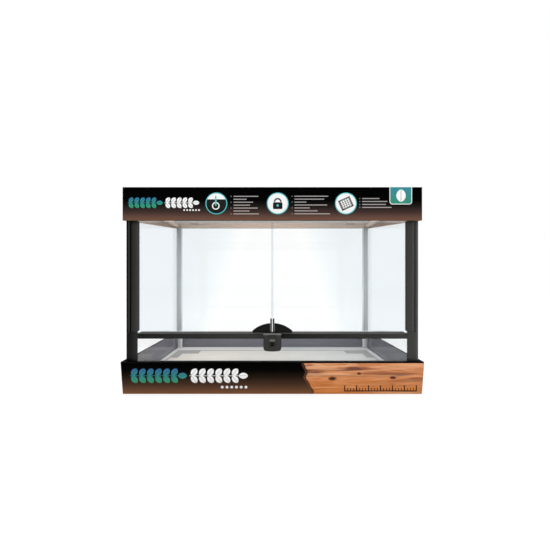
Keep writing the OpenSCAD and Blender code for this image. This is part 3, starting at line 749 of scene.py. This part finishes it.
# Painted light on the posts and stiles: darker to the left and paler to the right, with painted
# highlights on their edges and painted shade by the gaps beside the doors
post_black = upright_plastic("post_plastic", [
    (-249.0, "#0a0a09"), (-243.0, "#0e0e0d"), (-240.0, "#161615"), (-231.0, "#2b2b2a"),
    (230.0, "#393938"), (234.0, "#3f3f3e"), (242.0, "#40403f"), (246.5, "#464645"),
    (247.5, "#666664"), (249.0, "#666664"), (249.2, "#262625")], groove=True)
stile_black = upright_plastic("stile_plastic", [
    (-242.5, "#3c3c3b"), (-241.6, "#242423"), (-240.8, "#1f1f1e"), (-232.0, "#353534"),
    (-230.0, "#3f3f3e"), (227.5, "#31312f"), (230.5, "#3a3a38"), (240.0, "#3d3d3b"),
    (241.0, "#626260"), (242.5, "#90908d")])
lid_black = moulded_plastic("lid_plastic", "#0c0c0b", "#121211", tone=lid_painted_light)
rail_black = moulded_plastic("rail_plastic", "#1b1b1a", "#222220", 0.36, tone=rail_painted_light,
                             gloss=0.1)
door_black = moulded_plastic("door_plastic", "#0f0f0e", "#151514", 0.4, gloss=0.1)
lock_grey = moulded_plastic("lock_plastic", "#323230", "#3a3a38", 0.45, tone=lock_painted_light,
                            gloss=0.1)
slide_grey = moulded_plastic("slide_plastic", "#323230", "#3a3a38", 0.45, tone=slide_painted_light,
                             gloss=0.1)
pad_grey = moulded_plastic("pad_plastic", "#a4a4a4", "#b0b0b0", 0.6)
wall_glass = clear_glass("wall_glass", "#fdfefe")
door_glass = clear_glass("door_glass", "#fbfdfe", tone=door_sheen)
lower_glass = clear_glass("lower_glass", "#fdfefe", tone=lower_sheen)
floor_glass = satin_floor("floor_glass")
bead = silicone_bead("corner_silicone")
foam = foam_strip("gasket_foam")
wire = coated_wire("mesh_wire")
steel = turned_steel("pin_steel")

# Plastic pieces with rounded edges

for node, material, width in [
    ("base_frame", base_black, 0.5), ("top_frame", top_black, 0.4), ("front_fascia", black, 0.3),
    ("lid_frame", lid_black, 0.6), ("sill_rail", rail_black, 0.5), ("lock_housing", lock_grey, 0.5),
    ("lock_slider", slide_grey, 0.25),
]:
    softened(node, material, width * MM)
for stem, material, width, segments in [
    ("post_front", post_black, 0.4, 2), ("post_rear", rear_post_black, 0.4, 2),
    ("door_stile", stile_black, 0.4, 2), ("door_pull", door_black, 0.4, 3),
    ("edge_clip", door_black, 0.3, 2), ("cable_shutter", lock_grey, 0.4, 2),
    ("support_pad_front", pad_grey, 0.6, 2), ("support_pad_rear", pad_grey, 0.6, 2),
    ("corner_seal_rear", bead, 0.8, 3),
]:
    for node in both_sides(stem):
        softened(node, material, width * MM, segments)

# Glass, its edges ground with one small chamfer

for node, material, width in [
    ("left_pane", wall_glass, 0.3), ("right_pane", wall_glass, 0.3), ("rear_pane", wall_glass, 0.3),
    ("lower_front_pane", lower_glass, 0.3), ("door_pane_left", door_glass, 0.4),
    ("door_pane_right", door_glass, 0.4), ("floor_pane", floor_glass, 0.3),
]:
    softened(node, material, width * MM, segments=1)

# Gasket, screws and pins keep their CAD shapes

dress("floor_gasket", foam)
dress("lock_screws", steel)
for node in both_sides("hinge_pin_upper") + both_sides("hinge_pin_lower"):
    dress(node, steel)

# Cards

header_low, header_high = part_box("header_card")
card_low, card_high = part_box("base_card")
dress("header_card", printed_card("header_print", header_low.z, header_high.z, [
    (0.0, "#74553f"), (0.08, "#6b4d42"), (0.25, "#43332f"), (0.45, "#1c1918"), (0.6, "#050504"),
    (1.0, "#000101")], back_x=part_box("top_frame")[1].x))
dress("base_card", printed_card("base_print", card_low.z, card_high.z, [
    (0.0, "#8d5c38"), (0.1, "#734f38"), (0.3, "#4c3528"), (0.55, "#231a12"), (0.75, "#060504"),
    (1.0, "#000000")]))


# Prints on the cards, drawn flat with X along the card and Y up it, in millimetres

def header_place():
    """Carries a flat drawing onto the header card."""
    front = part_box("header_card")[0].y
    return Matrix(((MM, 0, 0, 0), (0, 0, -MM, front), (0, MM, 0, 0), (0, 0, 0, 1)))


def base_place():
    """Carries a flat drawing onto the base card, which leans back towards its lower edge."""
    low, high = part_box("base_card")
    lean = -DRAFT_MM / BASE_MM
    foot = low.y - lean * high.z
    return Matrix(((MM, 0, 0, 0), (0, lean * MM, -MM, foot), (0, MM, 0, 0), (0, 0, 0, 1)))


def add_disc(bm, x, z, radius, segments=48):
    """A flat round face."""
    bmesh.ops.create_circle(bm, cap_ends=True, segments=segments, radius=radius,
                            matrix=Matrix.Translation((x, z, 0)))


def add_oval(bm, x, z, half_x, half_z):
    """A flat oval face from its two half sizes."""
    size = Matrix.Diagonal((half_x, half_z, 1, 1))
    bmesh.ops.create_circle(bm, cap_ends=True, segments=40, radius=1.0,
                            matrix=Matrix.Translation((x, z, 0)) @ size)


def add_ring(bm, x, z, inner, outer, sweep=360.0):
    """A flat ring, or an arc that starts on the right."""
    ends = [bm.verts.new((x + radius, z, 0)) for radius in (inner, outer)]
    edge = bm.edges.new(ends)
    bmesh.ops.spin(bm, geom=[*ends, edge], cent=(x, z, 0), axis=(0, 0, 1),
                   angle=math.radians(sweep), steps=max(4, round(sweep / 7.5)),
                   use_merge=sweep >= 360)


def add_bar(bm, x0, z0, x1, z1, corner=0.0):
    """A flat bar between two corners, which may be rounded."""
    size = Matrix.Diagonal((x1 - x0, z1 - z0, 1, 1))
    place = Matrix.Translation(((x0 + x1) / 2, (z0 + z1) / 2, 0))
    made = bmesh.ops.create_grid(bm, x_segments=1, y_segments=1, size=0.5, matrix=place @ size)
    if corner:
        bmesh.ops.bevel(bm, geom=made["verts"], offset=corner, segments=5, profile=0.5,
                        affect="VERTICES", material=-1)


def add_leaf(bm, x, z, length, width, angle, vein=0.35):
    """A pointed leaf from its stalk end, split along its middle by a fine vein."""
    for side in (-1, 1):
        made = bmesh.ops.create_circle(bm, cap_ends=True, segments=28, radius=1.0)
        verts = made["verts"]
        faces = {f for v in verts for f in v.link_faces}
        edges = {e for v in verts for e in v.link_edges}
        cut = bmesh.ops.bisect_plane(bm, geom=[*verts, *edges, *faces], plane_co=(0, 0, 0),
                                     plane_no=(0, -side, 0), clear_outer=True)
        verts = [g for g in cut["geom"] if isinstance(g, bmesh.types.BMVert) and g.is_valid]
        # Draws both ends out to points
        for v in verts:
            v.co.y *= abs(v.co.y) ** 0.45
        bmesh.ops.scale(bm, vec=(length / 2, width / 2, 1), verts=verts)
        bmesh.ops.translate(bm, vec=(length / 2, side * vein / 2, 0), verts=verts)
        bmesh.ops.rotate(bm, matrix=Matrix.Rotation(math.radians(angle), 3, "Z"), verts=verts)
        bmesh.ops.translate(bm, vec=(x, z, 0), verts=verts)


def add_sprig(bm, x0, x1, z0, z1, pairs):
    """A straight stem with pairs of leaves and one at its tip, to fill a box."""
    lean = 52.0
    middle = (z0 + z1) / 2
    tip = (x1 - x0) / (pairs + 1.2) * 1.15
    add_bar(bm, x0, middle - 0.45, x1 - tip, middle + 0.45)
    step = (x1 - x0 - tip) / pairs
    length = (z1 - z0) / 2 / math.sin(math.radians(lean))
    for i in range(pairs):
        for side in (-1, 1):
            add_leaf(bm, x0 + (i + 0.25) * step, middle + side * 0.6, length, step * 0.72,
                     side * lean)
    add_leaf(bm, x1 - tip, middle, tip, step * 0.72, 0)


def trim_top(bm, level):
    """Cuts a flat drawing off above a height."""
    bmesh.ops.bisect_plane(bm, geom=[*bm.verts, *bm.edges, *bm.faces], plane_co=(0, level, 0),
                           plane_no=(0, 1, 0), clear_outer=True)


def add_lines(bm, x, tops, pitch, lengths, bullets):
    """Plain bars on even lines, some with a small square before them."""
    for i, length in enumerate(lengths):
        z = tops - i * pitch
        add_bar(bm, x, z - 0.75, x + length, z + 0.75, corner=0.5)
        if i in bullets:
            add_bar(bm, x - 4.6, z - 0.6, x - 3.4, z + 0.6)


def lay_print(name, bm, place, depth, ink):
    """Gives a flat drawing its thickness of ink and lays it on a card."""
    bmesh.ops.recalc_face_normals(bm, faces=bm.faces)
    made = bmesh.ops.extrude_face_region(bm, geom=list(bm.faces))
    raised = [g for g in made["geom"] if isinstance(g, bmesh.types.BMVert)]
    bmesh.ops.translate(bm, vec=(0, 0, depth), verts=raised)
    bmesh.ops.transform(bm, matrix=place, verts=bm.verts)
    bmesh.ops.recalc_face_normals(bm, faces=bm.faces)
    make_piece(name, bm, "tank", ink)


def print_header():
    """Sprigs, bars, three round signs and a tag on the header card."""
    place = header_place()
    bm = bmesh.new()
    add_sprig(bm, -243.5, -184.5, 315.0, 331.0, 5)
    teal = print_ink("teal_print", "#2f9f78", "#2f7fa0", 0.316, 0.330)
    lay_print("header_sprig", bm, place, GROUND_INK, teal)

    bm = bmesh.new()
    add_sprig(bm, -181.5, -123.0, 315.0, 331.0, 5)
    for i in range(6):
        add_disc(bm, -148.5 + i * 5.0, 310.6, 1.5)
    white = print_ink("white_print", "#f4f4f2", "#ffffff", header_low.z, header_high.z)
    lay_print("header_white_sprig", bm, place, GROUND_INK, white)

    bm = bmesh.new()
    add_lines(bm, -65.5, 333.8, 4.93, (42, 22, 33, 28, 41, 27, 43), (0, 2, 4, 6))
    add_lines(bm, 37.2, 334.0, 4.93, (57, 50, 20, 55, 26, 39, 60), (0, 2, 4, 6))
    add_lines(bm, 151.3, 330.1, 4.98, (29, 42.5, 40, 49.5), (0, 1, 2, 3))
    grey = print_ink("grey_print", "#b3a8a4", "#a3a3a3", header_low.z, header_high.z)
    lay_print("header_bars", bm, place, GROUND_INK, grey)

    bm = bmesh.new()
    for x in ROUNDELS:
        add_disc(bm, x, ROUNDEL_Z, ROUNDEL_GROUND_R)
    lay_print("header_roundel_grounds", bm, place, GROUND_INK, white)
    bm = bmesh.new()
    for x in ROUNDELS:
        add_ring(bm, x, ROUNDEL_Z, *ROUNDEL_RIM)
    rim = print_ink("rim_print", "#46bbbd", "#62c8cd", *SIGN_SHADES)
    lay_print("header_roundel_rims", bm, place, RIM_INK, rim)

    # A dark wall with a cable grommet, and a padlock with its shackle
    wall_x, lock_x = ROUNDELS[:2]
    bm = bmesh.new()
    add_disc(bm, wall_x, ROUNDEL_Z, ROUNDEL_RIM[0], segments=64)
    trim_top(bm, ROUNDEL_Z + 7)
    add_bar(bm, lock_x - 8, ROUNDEL_Z - 9.5, lock_x + 8, ROUNDEL_Z + 2, corner=2)
    add_ring(bm, lock_x, ROUNDEL_Z + 2.6, 4.2, 6.6, sweep=180)
    black_ink = print_ink("black_print", "#080808", "#1a1a1a", *SIGN_SHADES)
    lay_print("header_dark_signs", bm, place, SIGN_INK, black_ink)

    bm = bmesh.new()
    add_ring(bm, wall_x - 1, ROUNDEL_Z - 4, 4.6, 6.4)
    lay_print("header_grommet", bm, place, RIM_INK, white)
    bm = bmesh.new()
    add_bar(bm, wall_x - 2.2, ROUNDEL_Z - 4, wall_x + 0.2, ROUNDEL_Z + 13, corner=0.8)
    add_disc(bm, lock_x, ROUNDEL_Z - 3.4, 2.0)
    lay_print("header_cable", bm, place, TOP_INK, rim)

    # A tilted mesh frame
    bm = bmesh.new()
    x, z = ROUNDELS[2], ROUNDEL_Z
    for i in range(-2, 3):
        add_bar(bm, x + i * 4 - 0.5, z - 9, x + i * 4 + 0.5, z + 9)
        add_bar(bm, x - 9, z + i * 4 - 0.5, x + 9, z + i * 4 + 0.5)
    for side in (-1, 1):
        add_bar(bm, x - 10.6, z + side * 9.6 - 1, x + 10.6, z + side * 9.6 + 1)
        add_bar(bm, x + side * 9.6 - 1, z - 10.6, x + side * 9.6 + 1, z + 10.6)
    tilt = Matrix.Rotation(math.radians(24), 3, "Z") @ Matrix.Diagonal((1.0, 0.86, 1.0))
    bmesh.ops.transform(bm, matrix=tilt.to_4x4(), space=Matrix.Translation((-x, -z, 0)),
                        verts=bm.verts)
    mesh_ink = print_ink("mesh_print", "#4a4c4c", "#7b7e7e", *SIGN_SHADES)
    lay_print("header_mesh_sign", bm, place, SIGN_INK, mesh_ink)

    # Tag at the right end, which runs over the card's upper edge
    card_top = 349.2
    bm = bmesh.new()
    add_bar(bm, 197.4, 320.2, 235.3, 355.0, corner=5)
    trim_top(bm, card_top)
    lay_print("header_tag_rim", bm, place, SIGN_INK, white)
    bm = bmesh.new()
    add_bar(bm, 198.6, 321.4, 234.1, 355.0, corner=4)
    trim_top(bm, card_top)
    tag = print_ink("tag_print", "#2e9174", "#348e99", 0.322, 0.345)
    lay_print("header_tag", bm, place, RIM_INK, tag)
    bm = bmesh.new()
    add_leaf(bm, 216.7, 324.5, 21, 15, 90, vein=0.9)
    lay_print("header_tag_leaf", bm, place, TOP_INK, white)


def card_right(z):
    """Right edge of the base card's front at a height, in millimetres."""
    return card_high.x / MM - 0.15 - DRAFT_MM * (1 - z / BASE_MM)


def wood_edge(z):
    """Where the wood picture begins at a height: a slow wave over its slant."""
    t = z / BASE_MM
    return 66.0 - 17.0 * t ** 1.6 + 3.2 * math.sin(9.0 * t + 0.6) + 1.1 * math.sin(21.0 * t)


def add_wood_field(bm, low, high, left, right, columns):
    """A field whose left side follows the wavy edge of the wood, shifted by left.

    Its right side follows the same edge, shifted by right, or the line that right gives.
    """
    made = bmesh.ops.create_grid(bm, x_segments=columns, y_segments=36, size=0.5)
    for v in made["verts"]:
        z = low + (v.co.y + 0.5) * (high - low)
        start = wood_edge(z) + left
        end = right(z) if callable(right) else wood_edge(z) + right
        v.co = (start + (v.co.x + 0.5) * (end - start), z, 0)


def print_base():
    """Sprigs, a picture of wood and a rule on the base card."""
    place = base_place()
    low, high = card_low.z / MM + 0.1, card_high.z / MM - 0.1

    bm = bmesh.new()
    add_sprig(bm, -240.0, -143.5, 20.5, 43.0, 6)
    teal = print_ink("base_teal_print", "#2f9a74", "#2d6f9a", 0.021, 0.042)
    lay_print("base_sprig", bm, place, GROUND_INK, teal)
    bm = bmesh.new()
    add_sprig(bm, -139.5, -41.0, 20.5, 43.0, 6)
    for i in range(6):
        add_disc(bm, -84.5 + i * 8.0, 12.2, 2.4)
    white = print_ink("base_white_print", "#f0f0ee", "#ffffff", card_low.z, card_high.z)
    lay_print("base_white_sprig", bm, place, GROUND_INK, white)

    bm = bmesh.new()
    add_wood_field(bm, low, high, 0.0, card_right, 4)
    lay_print("base_wood", bm, place, GROUND_INK, printed_wood("wood_print"))
    bm = bmesh.new()
    add_wood_field(bm, low, high, -4.2, 0.6, 1)
    bark = print_ink("bark_print", "#6b3d22", "#3c2418", card_low.z, card_high.z)
    lay_print("base_bark", bm, place, SIGN_INK, bark)

    # Knots in the wood
    knots = ((101.0, 27.0, 5.2, 2.7), (146.0, 35.5, 3.0, 1.5), (203.0, 28.5, 4.2, 2.0))
    for stem, scale, depth, codes in [("rim", 1.45, KNOT_RIM_INK, ("#a9652f", "#a5643f")),
                                      ("heart", 1.0, KNOT_HEART_INK, ("#4f2d18", "#43271a"))]:
        bm = bmesh.new()
        for x, z, half_x, half_z in knots:
            add_oval(bm, x, z, half_x * scale, half_z * scale)
        ink = print_ink(f"knot_{stem}_print", *codes, card_low.z, card_high.z)
        lay_print(f"base_knot_{stem}s", bm, place, depth, ink)

    # A plain rule with its ticks
    bm = bmesh.new()
    add_bar(bm, 121.0, 4.8, 243.8, 6.6)
    for i in range(25):
        tall, half = (4.2, 0.5) if i % 4 else (9.0, 0.9)
        middle = 121.9 + i * 5.04
        add_bar(bm, middle - half, 6.5, middle + half, 6.5 + tall)
    dark = print_ink("rule_print", "#050302", "#0a0604", card_low.z, card_high.z)
    lay_print("base_rule", bm, place, RIM_INK, dark)


print_header()
print_base()


# Wire mesh of the lid

def straight_wire(bm, start, end):
    """A round wire from one point to another along X or Y."""
    run = end - start
    turn = Vector((0, 0, 1)).rotation_difference(run).to_matrix().to_4x4()
    bmesh.ops.create_cone(bm, cap_ends=True, segments=6, radius1=WIRE_R, radius2=WIRE_R,
                          depth=run.length, matrix=Matrix.Translation((start + end) / 2) @ turn)


def wire_panel(node):
    """Crossed wires inside a flat rim, in the space of one CAD mesh panel."""
    low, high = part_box(node)
    middle = (low.z + high.z) / 2
    bm = bmesh.new()
    inset = Vector((MESH_RIM, MESH_RIM, 0))
    inner_low, inner_high = low + inset, high - inset
    for axis in (0, 1):
        across = 1 - axis
        count = round((inner_high[across] - inner_low[across]) / MESH_PITCH)
        step = (inner_high[across] - inner_low[across]) / count
        height = middle + (WIRE_R if axis else -WIRE_R) * 0.9
        for i in range(1, count):
            start = Vector((0, 0, height))
            start[axis] = inner_low[axis] - MESH_RIM / 2
            start[across] = inner_low[across] + i * step
            end = start.copy()
            end[axis] = inner_high[axis] + MESH_RIM / 2
            straight_wire(bm, start, end)
    for axis in (0, 1):
        across = 1 - axis
        for edge in (low[across] + MESH_RIM / 2, high[across] - MESH_RIM / 2):
            size = high - low
            size[across] = MESH_RIM
            centre = (low + high) / 2
            centre[across] = edge
            bmesh.ops.create_cube(bm, size=1.0,
                                  matrix=Matrix.Translation(centre) @ Matrix.Diagonal((*size, 1)))
    piece = make_piece(node + "_wires", bm, "lid", wire, smooth_angle=50)
    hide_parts(node)


for number in (1, 2, 3, 4):
    wire_panel(f"mesh_panel_{number}")
